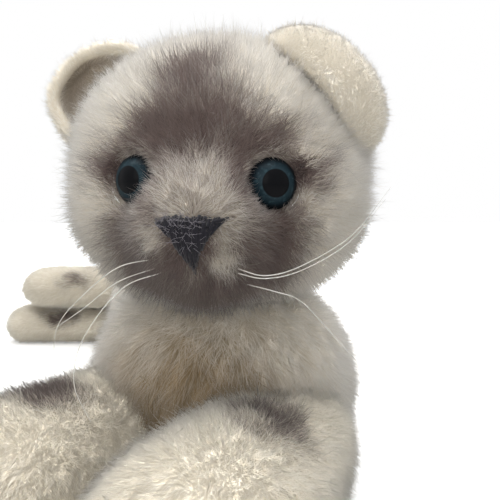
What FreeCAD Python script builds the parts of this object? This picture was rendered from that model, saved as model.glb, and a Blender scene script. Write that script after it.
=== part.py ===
# Lying plush cat, in millimetres. It faces -Y, its left side is +X and it lies on the plane z = 0.
# The origin is on the flat of the belly. The skins are sewn plush panels round a fibre filling, the head
# turns on a plastic disc joint, and the legs, tail and ears flex at the seams that sew them on.
import FreeCAD, Part
import math
import os
from FreeCAD import Vector

# ---- driving dimensions ----
skin_wall = 2.0            # plush backing with its pressed pile
fit_gap = 0.3              # air between a skin and what fills it
joint_gap = 0.6            # air between a limb's root and its seat in the body
up = Vector(0, 0, 1)

# neck joint: a disc with a stem in the head, a disc and a lock washer in the body
neck_y = -75.0
neck_height = 60.0         # top of the body's skin under the head
neck_gap = 0.4             # air between the two skins
neck_disc_radius = 14.0
neck_disc_thickness = 2.5
stem_radius = 4.0
stem_running_gap = 0.1
lock_washer_radius = 8.0
lock_washer_thickness = 1.5
stem_tail = 3.0            # stem past the lock washer

# body: rounded lumps, (centre, radii), from the shoulders under the head to the hips
shoulders = (Vector(0, neck_y + 3, neck_height - 18), Vector(32, 28, 25))
chest = (Vector(0, -40, 26), Vector(43, 54, 35))
waist = (Vector(-6, 18, 25), Vector(43, 70, 36))
hips = (Vector(-24, 80, 26), Vector(46, 52, 38))
torso_lumps = [shoulders, chest, waist, hips]
belly_seam_height = 14.0
back_seam_start = Vector(chest[0].x, chest[0].y - chest[1].y, 0)
back_seam_end = Vector(hips[0].x, hips[0].y + hips[1].y, 0)
back_seam_lean = math.degrees(math.atan2(back_seam_start.x - back_seam_end.x,
                                         back_seam_end.y - back_seam_start.y))

# head, drawn facing straight ahead and then turned about the neck
head_turn = -6.0
cranium = (Vector(0, -72, 97), Vector(38.5, 34, 30.5))
cheek_left = (Vector(17, -84, 84), Vector(21, 20, 19))
cheek_right = (Vector(-17, -84, 84), Vector(21, 20, 19))
muzzle = (Vector(0, -99, 80), Vector(16.5, 17, 14))
chin = (Vector(0, -94, 72), Vector(13, 14, 10.5))
neck_base = (Vector(0, neck_y, neck_height + 10), Vector(26, 26, 12))
head_lumps = [cranium, cheek_left, cheek_right, muzzle, chin, neck_base]
gusset_half_width = 9.0
chin_seam_height = 74.0

# eyes: 12 mm safety eyes
eye_radius = 6.0
eye_front = -102.0
eye_places = {"left": (16.5, 89.0), "right": (-15.5, 90.0)}   # sideways, height: set in by hand
eye_outward = 23.0         # degrees that the eye looks outwards
eye_sink = 0.6             # depth of the seat in the skin
eye_cup_depth = 1.0
eye_cup_rim = 0.3
eye_recess = 0.5
iris_thickness = 0.45
pupil_radius = 3.1
lens_rise = 3.2
eye_stem_radius = 1.5
eye_stem_length = 11.0
eye_washer_radius = 6.4
eye_washer_thickness = 1.2
eye_washer_depth = 3.6     # from the seat to the washer's face

# nose: a pad of satin stitch, wider at the top
nose_top = 81.0
nose_bottom = 70.0
nose_half_width = 7.2
nose_thickness = 1.2
thread_gap = 0.2

whisker_radius = 0.2

# ears: cups of two layers; the right one stands open, the left one is folded down over its opening
ear_radii = Vector(16.5, 12, 17.5)   # along the base, deep, outwards
ear_layer = 1.2
ear_layer_gap = 0.2
ear_lip = 1.5              # depth that the rim curls past the cup's middle
ear_flex = 12.0

# front legs
front_leg_radius = 17.5
front_leg_reach = 58.0     # pivot to the middle of the paw
front_paw_radius = 20.0
front_lift = (-8.0, 20.0)

# hind legs, one lying on the other
hind_leg_half_width = 15.0
hind_leg_half_height = 12.0
hind_leg_sink = 1.2        # height that lying on the floor flattens away
hind_stack_gap = 0.5
hind_swing = (-20.0, 20.0)

# tail, curled round the hips
tail_radius = 9.0
tail_curl_radius = 61.0
tail_curl_sweep = 95.0
tail_swing = (0.0, 50.0)

# hand-sewn closing stitches over the back seam
seam_thread_radius = 0.5
seam_stitch_length = 4.0
closing_stitch_angles = range(20, 66, 5)   # degrees above the hips' middle


# ---- small helpers ----
def ellipsoid(lump, inset=0.0):
    centre, radii = lump
    stretch = FreeCAD.Matrix()
    stretch.scale(radii.x - inset, radii.y - inset, radii.z - inset)
    body = Part.makeSphere(1).transformGeometry(stretch)
    body.translate(centre)
    return body


def blob(lumps, inset=0.0):
    first, *others = [ellipsoid(lump, inset) for lump in lumps]
    return first.fuse(others)


def above(height):
    return Part.makeBox(600, 600, 400, Vector(-300, -300, height))


def slab(x_low, x_high, y_low=-300, y_high=300, z_low=-100, z_high=400):
    return Part.makeBox(x_high - x_low, y_high - y_low, z_high - z_low, Vector(x_low, y_low, z_low))


def rod(start, direction, radius, length):
    return Part.makeCylinder(radius, length, start, direction)


def ring(start, direction, inner, outer, length):
    return rod(start, direction, outer, length).cut(rod(start, direction, inner, length))


def turned(shape, centre, axis, degrees):
    copy = shape.copy()
    copy.rotate(centre, axis, degrees)
    return copy


def in_head(shape):
    return turned(shape, Vector(0, neck_y, 0), up, head_turn)


def write(name, shape):
    shape.exportStep(f"parts/{name}.step")
    print(f"{name:28s} {len(shape.Solids):2d} solids {shape.Volume:10.1f} mm3", flush=True)


# ---- limbs: one shape function each, used again for the seats in the body ----
def spun(points, arcs_after):
    """A solid of revolution about +X from points (along, radius); an arc's middle point follows its start."""
    edges = []
    at = 0
    while at < len(points) - 1:
        span = 2 if at in arcs_after else 1
        here = [Vector(x, 0, r) for x, r in points[at:at + span + 1]]
        edges.append(Part.Arc(*here).toShape() if span == 2 else Part.makeLine(*here))
        at += span
    edges.append(Part.makeLine(Vector(points[-1][0], 0, points[-1][1]), Vector(points[0][0], 0, points[0][1])))
    return Part.Face(Part.Wire(edges)).revolve(Vector(0, 0, 0), Vector(1, 0, 0), 360)


def aimed(shape, along, start):
    copy = shape.copy()
    copy.rotate(Vector(0, 0, 0), up, math.degrees(math.atan2(along.y, along.x)))
    copy.translate(start)
    return copy


def bone(root, toe, length):
    """A round root, a straight shaft and a round toe, from -root to length + toe along +X."""
    half = math.sqrt(0.5)
    lean = math.asin((toe - root) / length)
    side = Vector(-math.sin(lean), 0, math.cos(lean))
    toe_middle = (math.pi / 2 - lean) / 2
    points = [
        (-root, 0), (-root * half, root * half), (root * side.x, root * side.z),
        (length + toe * side.x, toe * side.z),
        (length + toe * math.sin(toe_middle), toe * math.cos(toe_middle)),
        (length + toe, 0),
    ]
    return spun(points, {0, 3})


class FrontLeg:
    def __init__(self, side, pivot, aim):
        self.side = side
        self.pivot = pivot
        angle = math.radians(aim)
        self.along = Vector(-math.sin(angle), -math.cos(angle), 0)
        self.axis = self.along.cross(up)

    def body(self, inset=0.0):
        shape = bone(front_leg_radius - inset, front_paw_radius - inset, front_leg_reach)
        return aimed(shape, self.along, self.pivot).common(above(inset))

    def seat(self, extra):
        low, high = front_lift
        spread = front_leg_reach * math.sin(math.radians(high - low) / 2)
        flare = bone(front_leg_radius + extra, front_paw_radius + extra + spread, front_leg_reach)
        return [turned(aimed(flare, self.along, self.pivot), self.pivot, self.axis, (low + high) / 2)]


class HindLeg:
    def __init__(self, side, pivot, length):
        self.side = side
        self.pivot = pivot
        self.length = length

    def capsule(self, half_width, half_height, toe_width):
        shape = bone(half_width, toe_width, self.length - hind_leg_half_width)
        flatten = FreeCAD.Matrix()
        flatten.scale(1, 1, half_height / half_width)
        return aimed(shape.transformGeometry(flatten), Vector(-1, 0, 0), self.pivot)

    def body(self, inset=0.0):
        half_width = hind_leg_half_width - inset
        return self.capsule(half_width, hind_leg_half_height - inset, half_width).common(above(inset))

    def seat(self, extra):
        half_width = hind_leg_half_width + extra
        half_sweep = math.radians(hind_swing[1] - hind_swing[0]) / 2
        toe_width = half_width + (self.length - hind_leg_half_width) * math.sin(half_sweep)
        room = bone(half_width, toe_width, self.length - hind_leg_half_width)
        room = aimed(room, Vector(-1, 0, 0), self.pivot)
        half_height = hind_leg_half_height + extra
        return [room.common(above(self.pivot.z - half_height)).cut(above(self.pivot.z + half_height))]


class Tail:
    def __init__(self):
        self.centre = Vector(hips[0].x + 2, hips[0].y, tail_radius + 0.5)
        self.pivot = Vector(self.centre.x - 1, hips[0].y + hips[1].y * 0.9, self.centre.z)
        self.corner = Vector(self.centre.x, self.centre.y + tail_curl_radius, self.centre.z)

    def stub(self, radius):
        shape = bone(radius, radius, (self.corner - self.pivot).Length)
        return aimed(shape, self.corner - self.pivot, self.pivot)

    def body(self, inset=0.0):
        radius = tail_radius - inset
        curl = Part.makeTorus(tail_curl_radius, radius, self.centre, up, 0, 360, tail_curl_sweep)
        curl.rotate(self.centre, up, 90 - tail_curl_sweep)
        tip_angle = math.radians(90 - tail_curl_sweep)
        tip = self.centre + Vector(math.cos(tip_angle), math.sin(tip_angle), 0) * tail_curl_radius
        return curl.fuse([self.stub(radius), Part.makeSphere(radius, tip)]).common(above(inset))

    def seat(self, extra):
        radius = tail_radius + extra
        swing = math.radians(tail_swing[1] - tail_swing[0])
        flare = bone(radius, radius + tail_radius * math.sin(swing / 2) * 2, tail_radius * 2)
        middle = (tail_swing[0] + tail_swing[1]) / 2
        return [turned(aimed(flare, self.corner - self.pivot, self.pivot), self.pivot, up, middle)]


hind_lower_height = hind_leg_half_height - hind_leg_sink
hind_upper_height = hind_lower_height + 2 * hind_leg_half_height + hind_stack_gap
front_legs = [
    FrontLeg("left", Vector(19, -80, front_leg_radius), 22.0),
    FrontLeg("right", Vector(-26, -66, front_leg_radius), 24.0),
]
hind_legs = [
    HindLeg("left", Vector(-52, 109, hind_lower_height), 95.0),
    HindLeg("right", Vector(-53, 104, hind_upper_height), 81.0),
]
tail = Tail()
limbs = front_legs + hind_legs + [tail]


def write_limb(name, limb, seam_height):
    shell = limb.body().cut(limb.body(skin_wall))
    write(f"{name}_upper_panel", shell.common(above(seam_height)))
    write(f"{name}_under_panel", shell.cut(above(seam_height)))
    write(f"{name}_stuffing", limb.body(skin_wall + fit_gap))


# ---- body ----
def torso_solid(inset):
    shape = blob(torso_lumps, inset).common(above(inset))
    shape = shape.cut(rod(Vector(0, neck_y, neck_height - inset), up, 70, 60))
    for limb in limbs:
        for room in limb.seat(joint_gap + inset):
            shape = shape.cut(room)
    return shape


pouch_lump = (Vector(waist[0].x, waist[0].y, 15.5), Vector(26, 38, 9))
pouch_wall = 0.8
torso_disc_top = neck_height - skin_wall - fit_gap
lock_washer_top = torso_disc_top - neck_disc_thickness - fit_gap
stem_bottom = lock_washer_top - lock_washer_thickness - stem_tail
neck_axis_point = Vector(0, neck_y, 0)


def at_neck(height):
    return neck_axis_point + up * height


def write_torso():
    shell = torso_solid(0).cut(torso_solid(skin_wall))
    shell = shell.cut(rod(at_neck(0), up, stem_radius + fit_gap, 200))
    belly = shell.cut(above(belly_seam_height))
    flanks = shell.common(above(belly_seam_height))
    left_side = slab(0, 300)
    left_side.rotate(back_seam_start, up, back_seam_lean)
    write("torso_left_panel", flanks.common(left_side))
    write("torso_right_panel", flanks.cut(left_side))
    write("torso_belly_panel", belly)
    neck_room = rod(at_neck(stem_bottom - fit_gap), up, neck_disc_radius + fit_gap, 60)
    stuffing = torso_solid(skin_wall + fit_gap).cut(neck_room)
    write("torso_stuffing", stuffing.cut(ellipsoid(pouch_lump, -fit_gap)))
    write("pellet_pouch", ellipsoid(pouch_lump).cut(ellipsoid(pouch_lump, pouch_wall)))
    write("pellet_fill", ellipsoid(pouch_lump, pouch_wall + fit_gap))


def write_closing_stitches():
    middle, radii = hips
    lean = math.radians(back_seam_lean)
    back = Vector(-math.sin(lean), math.cos(lean), 0)
    across = Vector(math.cos(lean), math.sin(lean), 0)
    stitches = []
    for angle in closing_stitch_angles:
        ray = back * math.cos(math.radians(angle)) + up * math.sin(math.radians(angle))
        on_skin = ray * (1 / Vector(ray.x / radii.x, ray.y / radii.y, ray.z / radii.z).Length)
        out = Vector(on_skin.x / radii.x ** 2, on_skin.y / radii.y ** 2, on_skin.z / radii.z ** 2).normalize()
        centre = middle + on_skin + out * (seam_thread_radius + thread_gap)
        stitches.append(rod(centre - across * (seam_stitch_length / 2), across, seam_thread_radius,
                            seam_stitch_length))
    write("closing_stitches", Part.makeCompound(stitches))


def write_neck_joint():
    head_disc_bottom = neck_height + neck_gap + skin_wall + fit_gap
    disc = rod(at_neck(head_disc_bottom), up, neck_disc_radius, neck_disc_thickness)
    stem = rod(at_neck(stem_bottom), up, stem_radius, head_disc_bottom - stem_bottom)
    write("neck_disc_with_stem", in_head(disc.fuse(stem)))
    bore = stem_radius + stem_running_gap
    write("neck_body_disc", ring(at_neck(torso_disc_top - neck_disc_thickness), up, bore,
                                 neck_disc_radius, neck_disc_thickness))
    write("neck_lock_washer", in_head(ring(at_neck(lock_washer_top - lock_washer_thickness), up,
                                           stem_radius, lock_washer_radius, lock_washer_thickness)))
    return head_disc_bottom + neck_disc_thickness


# ---- eyes ----
class Eye:
    def __init__(self, side):
        self.side = side
        across, height = eye_places[side]
        angle = math.copysign(math.radians(eye_outward), across)
        self.out = Vector(math.sin(angle), -math.cos(angle), 0)
        self.seat = Vector(across, eye_front, height) - self.out * eye_sink

    def at(self, distance):
        return self.seat + self.out * distance

    def skin_cut(self):
        return rod(self.seat, self.out, eye_radius + fit_gap, 30).fuse(
            rod(self.at(-20), self.out, eye_stem_radius + fit_gap, 40))

    def stuffing_cut(self):
        room = eye_washer_depth + eye_washer_thickness + fit_gap
        return rod(self.at(-room), self.out, eye_washer_radius + fit_gap, 30).fuse(
            rod(self.at(-eye_stem_length - fit_gap), self.out, eye_stem_radius + fit_gap, 30))

    def write(self):
        cup = rod(self.seat, self.out, eye_radius, eye_cup_depth)
        floor = eye_cup_depth - eye_recess
        recess_radius = eye_radius - eye_cup_rim
        cup = cup.cut(rod(self.at(floor), self.out, recess_radius, eye_recess))
        cup = cup.fuse(rod(self.at(-eye_stem_length), self.out, eye_stem_radius, eye_stem_length + floor))
        write(f"eye_cup_{self.side}", in_head(cup))
        write(f"eye_iris_{self.side}", in_head(
            ring(self.at(floor), self.out, pupil_radius, recess_radius, iris_thickness)))
        write(f"eye_pupil_{self.side}", in_head(
            rod(self.at(floor), self.out, pupil_radius, iris_thickness)))
        ball_radius = (eye_radius ** 2 + lens_rise ** 2) / (2 * lens_rise)
        ball = Part.makeSphere(ball_radius, self.at(eye_cup_depth + lens_rise - ball_radius))
        lens = ball.common(rod(self.at(eye_cup_depth), self.out, eye_radius, lens_rise + 1))
        write(f"eye_lens_{self.side}", in_head(lens))
        back = self.at(-eye_washer_depth - eye_washer_thickness)
        write(f"eye_washer_{self.side}", in_head(
            ring(back, self.out, eye_stem_radius, eye_washer_radius, eye_washer_thickness)))


# ---- ears ----
class Ear:
    def __init__(self, side, centre, outwards, opening):
        self.side = side
        self.centre = centre
        self.outwards = outwards.normalize()
        facing = opening - self.outwards * opening.dot(self.outwards)
        self.opening = facing.normalize()
        self.along = self.outwards.cross(self.opening)
        self.hinge = centre - self.outwards * 5.0 - self.opening * 5.0

    def bowl(self, inset):
        """An ellipsoid whose poles are front and back, and whose seam points into the head."""
        ball = Part.makeSphere(1)
        ball.rotate(Vector(0, 0, 0), Vector(1, 0, 0), 90)
        ball.rotate(Vector(0, 0, 0), Vector(0, 1, 0), 90)
        stretch = FreeCAD.Matrix()
        stretch.scale(ear_radii.x - inset, ear_radii.y - inset, ear_radii.z - inset)
        return ball.transformGeometry(stretch)

    def layer(self, outer_inset, inner_inset):
        cup = self.bowl(outer_inset).cut(self.bowl(inner_inset))
        cup = cup.cut(slab(-100, 100, -100, -ear_lip))
        # the cup is drawn opening towards -Y and standing along +Z
        place = FreeCAD.Matrix(
            self.along.x, -self.opening.x, self.outwards.x, self.centre.x,
            self.along.y, -self.opening.y, self.outwards.y, self.centre.y,
            self.along.z, -self.opening.z, self.outwards.z, self.centre.z)
        cup.transformShape(place)
        return cup

    def write(self, head_cut):
        outer_inset = ear_layer + ear_layer_gap
        back = self.layer(0, ear_layer)
        lining = self.layer(outer_inset, outer_inset + ear_layer)
        for name, shape in (("back", back), ("lining", lining)):
            for angle in (0, -ear_flex, ear_flex):
                shape = shape.cut(turned(head_cut, self.hinge, self.along, angle))
            largest = max(shape.Solids, key=lambda solid: solid.Volume)
            write(f"ear_{name}_{self.side}", in_head(largest))


ears = [
    Ear("left", Vector(24.5, -78, 119), Vector(0.12, -0.98, 0.10), Vector(-0.75, -0.1, -0.66)),
    Ear("right", Vector(-34, -68, 116), Vector(-0.72, 0.05, 0.69), Vector(0.25, -0.95, 0.1)),
]
eyes = [Eye("left"), Eye("right")]


# ---- head ----
def head_solid(inset):
    return blob(head_lumps, inset).common(above(neck_height + neck_gap + inset))


def whisker(points):
    first, *rest = [Vector(*point) for point in points]
    path = Part.Wire([Part.Arc(first, *rest).toShape()])
    start = path.Edges[0]
    tangent = start.tangentAt(start.FirstParameter)
    section = Part.Wire([Part.makeCircle(whisker_radius, first, tangent)])
    return path.makePipeShell([section], True, False)


whisker_lines = {
    "left": [
        [(9, -103, 70), (30, -112, 71), (48, -104, 84)],
        [(9, -103, 71), (31, -110, 74), (50, -100, 86)],
        [(9, -100, 67), (28, -104, 60), (43, -98, 46)],
    ],
    "right": [
        [(-9, -103, 71), (-33, -110, 67), (-49, -106, 55)],
        [(-9, -102, 68), (-25, -114, 63), (-36, -120, 60)],
        [(-9, -101, 69), (-28, -106, 68), (-46, -96, 61)],
    ],
}


def write_head(disc_top):
    outer = head_solid(0)
    shell = outer.cut(head_solid(skin_wall))
    shell = shell.cut(rod(at_neck(0), up, stem_radius + fit_gap, 75))
    for eye in eyes:
        shell = shell.cut(eye.skin_cut())
    middle = slab(-gusset_half_width, gusset_half_width)
    under_chin = slab(-gusset_half_width, gusset_half_width, y_high=neck_y, z_high=chin_seam_height)
    write("head_crown_gusset", in_head(shell.common(middle).cut(under_chin)))
    write("head_chin_panel", in_head(shell.common(under_chin)))
    write("head_left_panel", in_head(shell.common(slab(gusset_half_width, 300))))
    write("head_right_panel", in_head(shell.common(slab(-300, -gusset_half_width))))
    stuffing = head_solid(skin_wall + fit_gap)
    stuffing = stuffing.cut(rod(at_neck(0), up, neck_disc_radius + fit_gap, disc_top + fit_gap))
    for eye in eyes:
        stuffing = stuffing.cut(eye.stuffing_cut())
    write("head_stuffing", in_head(stuffing))
    for side, lines in whisker_lines.items():
        solids = [Part.Solid(whisker(line)) for line in lines]
        write(f"whiskers_{side}", in_head(Part.makeCompound([s.cut(head_solid(-0.1)) for s in solids])))
    corners = [Vector(-nose_half_width, -300, nose_top), Vector(nose_half_width, -300, nose_top),
               Vector(0, -300, nose_bottom)]
    triangle = Part.Face(Part.makePolygon(corners + corners[:1])).extrude(Vector(0, 200, 0))
    pad = head_solid(-thread_gap - nose_thickness).cut(head_solid(-thread_gap)).common(triangle)
    write("nose_stitching", in_head(pad))


def main():
    os.makedirs("parts", exist_ok=True)
    write_torso()
    write_closing_stitches()
    disc_top = write_neck_joint()
    write_head(disc_top)
    for eye in eyes:
        eye.write()
    for ear in ears:
        ear.write(ellipsoid(cranium, -joint_gap))
    for leg in front_legs:
        write_limb(f"front_leg_{leg.side}", leg, front_leg_radius)
    for leg in hind_legs:
        write_limb(f"hind_leg_{leg.side}", leg, leg.pivot.z)
    write_limb("tail", tail, tail.centre.z)


main()
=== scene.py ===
import math
import bpy
import numpy as np
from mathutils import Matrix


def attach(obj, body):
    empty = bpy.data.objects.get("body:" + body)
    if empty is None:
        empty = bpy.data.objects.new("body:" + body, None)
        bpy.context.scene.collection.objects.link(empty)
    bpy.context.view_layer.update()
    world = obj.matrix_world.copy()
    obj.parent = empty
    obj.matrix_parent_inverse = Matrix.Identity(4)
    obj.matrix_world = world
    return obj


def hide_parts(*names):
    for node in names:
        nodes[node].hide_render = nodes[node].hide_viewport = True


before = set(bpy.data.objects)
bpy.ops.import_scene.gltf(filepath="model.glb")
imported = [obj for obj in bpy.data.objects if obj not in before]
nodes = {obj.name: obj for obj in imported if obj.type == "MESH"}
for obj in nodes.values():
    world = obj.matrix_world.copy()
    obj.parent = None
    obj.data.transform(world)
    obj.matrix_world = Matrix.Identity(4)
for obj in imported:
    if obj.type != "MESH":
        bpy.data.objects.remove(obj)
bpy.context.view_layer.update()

# Lengths below are in millimetres in the model's own frame: the cat faces -Y and its left side is +X.
mm = 0.001
halvings = 26                      # steps of the search for a skin along a ray
neckTurn = math.radians(-6.0)      # the head looks a little to its right
neckY = -75.0


def unit(v):
    return v / np.maximum(np.linalg.norm(v, axis=-1, keepdims=True), 1e-9)


def squareTo(v, axis):
    return v - (v * axis).sum(-1, keepdims=True) * axis


def fullTurn(count):
    return np.linspace(0, 2 * math.pi, count, endpoint=False)


def findSkin(isOutside, reach):
    # How far along each ray the skin is, by halving between zero and reach.
    low, high = np.zeros_like(reach), reach
    for _ in range(halvings):
        middle = (low + high) / 2
        outside = isOutside(middle)
        high, low = np.where(outside, middle, high), np.where(outside, low, middle)
    return high


def turnHead(points, back=False):
    # Points turned about the neck's upright axis; back=True straightens a turned head.
    angle = -neckTurn if back else neckTurn
    c, s = math.cos(angle), math.sin(angle)
    p = np.array(points, dtype=float)
    x, y = p[..., 0].copy(), p[..., 1] - neckY
    p[..., 0] = x * c - y * s
    p[..., 1] = x * s + y * c + neckY
    return p


def hexColour(text):
    # sRGB hex to the linear colour that shaders use.
    srgb = [int(text[i:i + 2], 16) / 255 for i in (1, 3, 5)]
    linear = [c / 12.92 if c <= 0.04045 else ((c + 0.055) / 1.055) ** 2.4 for c in srgb]
    return (*linear, 1.0)


def addNode(material, kind, settings=None, links=None):
    node = material.node_tree.nodes.new(kind)
    for key, value in (settings or {}).items():
        if isinstance(key, int) or key in node.inputs:
            node.inputs[key].default_value = value
        else:
            setattr(node, key, value)
    for key, source in (links or {}).items():
        material.node_tree.links.new(source, node.inputs[key])
    return node


def objectTexture(material, kind, settings):
    place = addNode(material, "ShaderNodeTexCoord")
    return addNode(material, kind, settings, {"Vector": place.outputs["Object"]})


def objectNoise(material, scale, detail):
    return objectTexture(material, "ShaderNodeTexNoise", {"Scale": scale, "Detail": detail})


def mapRange(material, value, low, high, toLow=0.0, toHigh=1.0, kind="LINEAR"):
    settings = {"interpolation_type": kind, "From Min": low, "From Max": high,
                "To Min": toLow, "To Max": toHigh}
    return addNode(material, "ShaderNodeMapRange", settings, {"Value": value}).outputs[0]


def scaled(material, value, factor, offset):
    # value times factor plus offset
    return addNode(material, "ShaderNodeMath", {"operation": "MULTIPLY_ADD", 1: factor, 2: offset},
                   {0: value}).outputs[0]


def readAttribute(material, name):
    return addNode(material, "ShaderNodeAttribute", {"attribute_name": name}).outputs["Fac"]


def mixColours(material, amount, low, high):
    # low and high are each a hex colour or a socket.
    values = {"data_type": "RGBA"}
    links = {0: amount}
    for socket, colour in ((6, low), (7, high)):
        if isinstance(colour, str):
            values[socket] = hexColour(colour)
        else:
            links[socket] = colour
    return addNode(material, "ShaderNodeMix", values, links).outputs[2]


def newMaterial(name):
    material = bpy.data.materials.new(name)
    material.use_nodes = True
    material.node_tree.nodes.clear()
    return material


def finishMaterial(material, shader):
    addNode(material, "ShaderNodeOutputMaterial", links={"Surface": shader.outputs[0]})
    return material


def lumpField(points, lumps, softness, floorHeight=None):
    # Distance to an ellipsoid is k (k - 1) / g with k = |p / r| and g = |p / r r|; the lumps are joined
    # by -s log(sum exp(-d / s)), and the floor cuts them by a soft maximum with its own distance.
    total = np.zeros(points.shape[:-1])
    for centre, radii in lumps:
        q = points - np.array(centre)
        k = np.linalg.norm(q / np.array(radii), axis=-1)
        g = np.linalg.norm(q / np.array(radii) ** 2, axis=-1)
        total += np.exp(-k * (k - 1) / np.maximum(g, 1e-9) / softness)
    d = -softness * np.log(total)
    if floorHeight is not None:
        d = softMax(d, floorHeight - points[..., 2], 1.5)
    return d


def softMax(a, b, softness):
    h = np.clip(0.5 + (a - b) / (2 * softness), 0, 1)
    return b + (a - b) * h + softness * h * (1 - h)


def fieldNormals(field, points, step=0.3):
    normal = np.empty_like(points)
    for axis in range(3):
        shift = np.zeros(3)
        shift[axis] = step
        normal[..., axis] = field(points + shift) - field(points - shift)
    return unit(normal)


def wrapAround(field, spine, columns, capRows, bodyRows, reach):
    # A ray fan follows the spine: it opens from pointing back past the first point to square with the
    # spine, slides along to the last point, and closes past it. Each ray is cut where the field is zero.
    spine = np.array(spine, dtype=float)
    share = np.linspace(0, 1, len(spine))
    slide = np.concatenate([np.zeros(capRows), np.linspace(0, 1, bodyRows), np.ones(capRows)])
    polar = np.concatenate([np.linspace(0, math.pi / 2, capRows, endpoint=False),
                            np.full(bodyRows, math.pi / 2),
                            np.linspace(math.pi / 2, math.pi, capRows + 1)[1:]])
    start = np.stack([np.interp(slide, share, spine[:, i]) for i in range(3)], axis=-1)
    before, after = np.clip(slide - 0.02, 0, 1), np.clip(slide + 0.02, 0, 1)
    ahead = np.stack([np.interp(after, share, spine[:, i]) - np.interp(before, share, spine[:, i])
                      for i in range(3)], axis=-1)
    axis = unit(ahead)
    aside = np.where(np.abs(axis[:, 2:3]) > 0.9, np.array([[0.0, -1.0, 0.0]]), np.array([[0.0, 0.0, 1.0]]))
    one = unit(squareTo(aside, axis))
    two = np.cross(axis, one)
    turn = fullTurn(columns)
    round_ = one[:, None] * np.cos(turn)[None, :, None] + two[:, None] * np.sin(turn)[None, :, None]
    ray = round_ * np.sin(polar)[:, None, None] - axis[:, None] * np.cos(polar)[:, None, None]
    far = findSkin(lambda out: field(start[:, None] + ray * out[..., None]) > 0,
                   np.full(ray.shape[:2], float(reach)))
    return start[:, None] + ray * far[..., None]


def closedMesh(name, grid):
    # The grid's first and last rows are poles, kept as one point each, and its columns meet.
    rows, columns = grid.shape[:2]
    ring = grid[1:-1].reshape(-1, 3)
    points = np.concatenate([grid[:1, 0], ring, grid[-1:, 0]])
    last = len(points) - 1
    i, j = np.meshgrid(np.arange(rows - 3), np.arange(columns), indexing="ij")
    k = (j + 1) % columns
    quads = np.stack([1 + i * columns + j, 1 + (i + 1) * columns + j, 1 + (i + 1) * columns + k,
                      1 + i * columns + k], axis=-1).reshape(-1, 4)
    j = np.arange(columns)
    k = (j + 1) % columns
    first = np.stack([np.zeros_like(j), 1 + j, 1 + k], axis=-1)
    end = last - columns
    final = np.stack([np.full_like(j, last), end + k, end + j], axis=-1)
    faces = quads.tolist() + first.tolist() + final.tolist()
    mesh = bpy.data.meshes.new(name)
    mesh.from_pydata((points * mm).tolist(), [], faces)
    mesh.shade_smooth()
    return mesh, points


def addObject(name, data):
    added = bpy.data.objects.new(name, data)
    bpy.context.scene.collection.objects.link(added)
    return added


def addPiece(mesh, body, material):
    piece = addObject(mesh.name, mesh)
    mesh.materials.append(material)
    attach(piece, body)
    return piece


def setAttribute(mesh, name, values):
    mesh.attributes.new(name, "FLOAT", "POINT").data.foreach_set("value", values.astype(np.float32))


mostTriangles = 195000     # in one piece of fur
strand = {
    # corners of its section, across and up, and its range of widths
    "section": [(0.5, 0.15), (-0.5, 0.15), (0.0, -0.35)], "widths": (0.75, 1.25),
    # the tuft's pull on the lower half, and how much more the upper half leans and strays
    "tuftLow": 0.6, "leanHigh": 1.7, "strayHigh": 1.4,
    # where a wisp bends and how far it goes on, its width there, and the lowest height of any fibre
    "kneeAt": 0.55, "pastKnee": 0.5, "kneeWidth": 0.7, "lowest": 0.15,
    # how far shading turns to the strand, and where off the root the mask is read
    "shadeRise": 0.35, "shadeTop": 0.25, "maskOut": 1.5, "maskStray": 1.2,
}
furDepth = {"ear": 1.0, "limb": 2.0}   # fur sunk deeper than this in the next part is left out
floorShare = 0.05          # of the fur is kept where a part rests on the floor


def ripple(points, wave, seed, count=7):
    # A smooth vector noise: sines along random directions, all of one wavelength in millimetres.
    rng = np.random.default_rng(seed)
    heading = unit(rng.normal(size=(count, 3))) * (2 * math.pi / wave)
    phase = rng.uniform(0, 2 * math.pi, count)
    push = unit(rng.normal(size=(count, 3)))
    return np.sin(points @ heading.T + phase) @ push / math.sqrt(count / 2)


def scatter(grid, normals, density, rng):
    # Roots are spread over the grid's cells by area times density, and lie at random in each cell.
    a, b = grid[:-1], grid[1:]
    c, d = np.roll(b, -1, axis=1), np.roll(a, -1, axis=1)
    area = 0.5 * np.linalg.norm(np.cross(c - a, d - b), axis=-1)
    middle = (a + b + c + d) / 4
    weight = (area * density(middle)).ravel()
    steps = np.cumsum(weight)
    count = int(steps[-1])
    cell = np.searchsorted(steps, rng.uniform(0, steps[-1], count))
    s, t = rng.uniform(size=(2, count, 1))

    def mix(field):
        corners = [field[:-1], field[1:], np.roll(field[1:], -1, axis=1), np.roll(field[:-1], -1, axis=1)]
        e, f, g, h = [corner.reshape(-1, 3)[cell] for corner in corners]
        return (e * (1 - s) + f * s) * (1 - t) + (h * (1 - s) + g * s) * t

    return mix(grid), unit(mix(normals))


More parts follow.
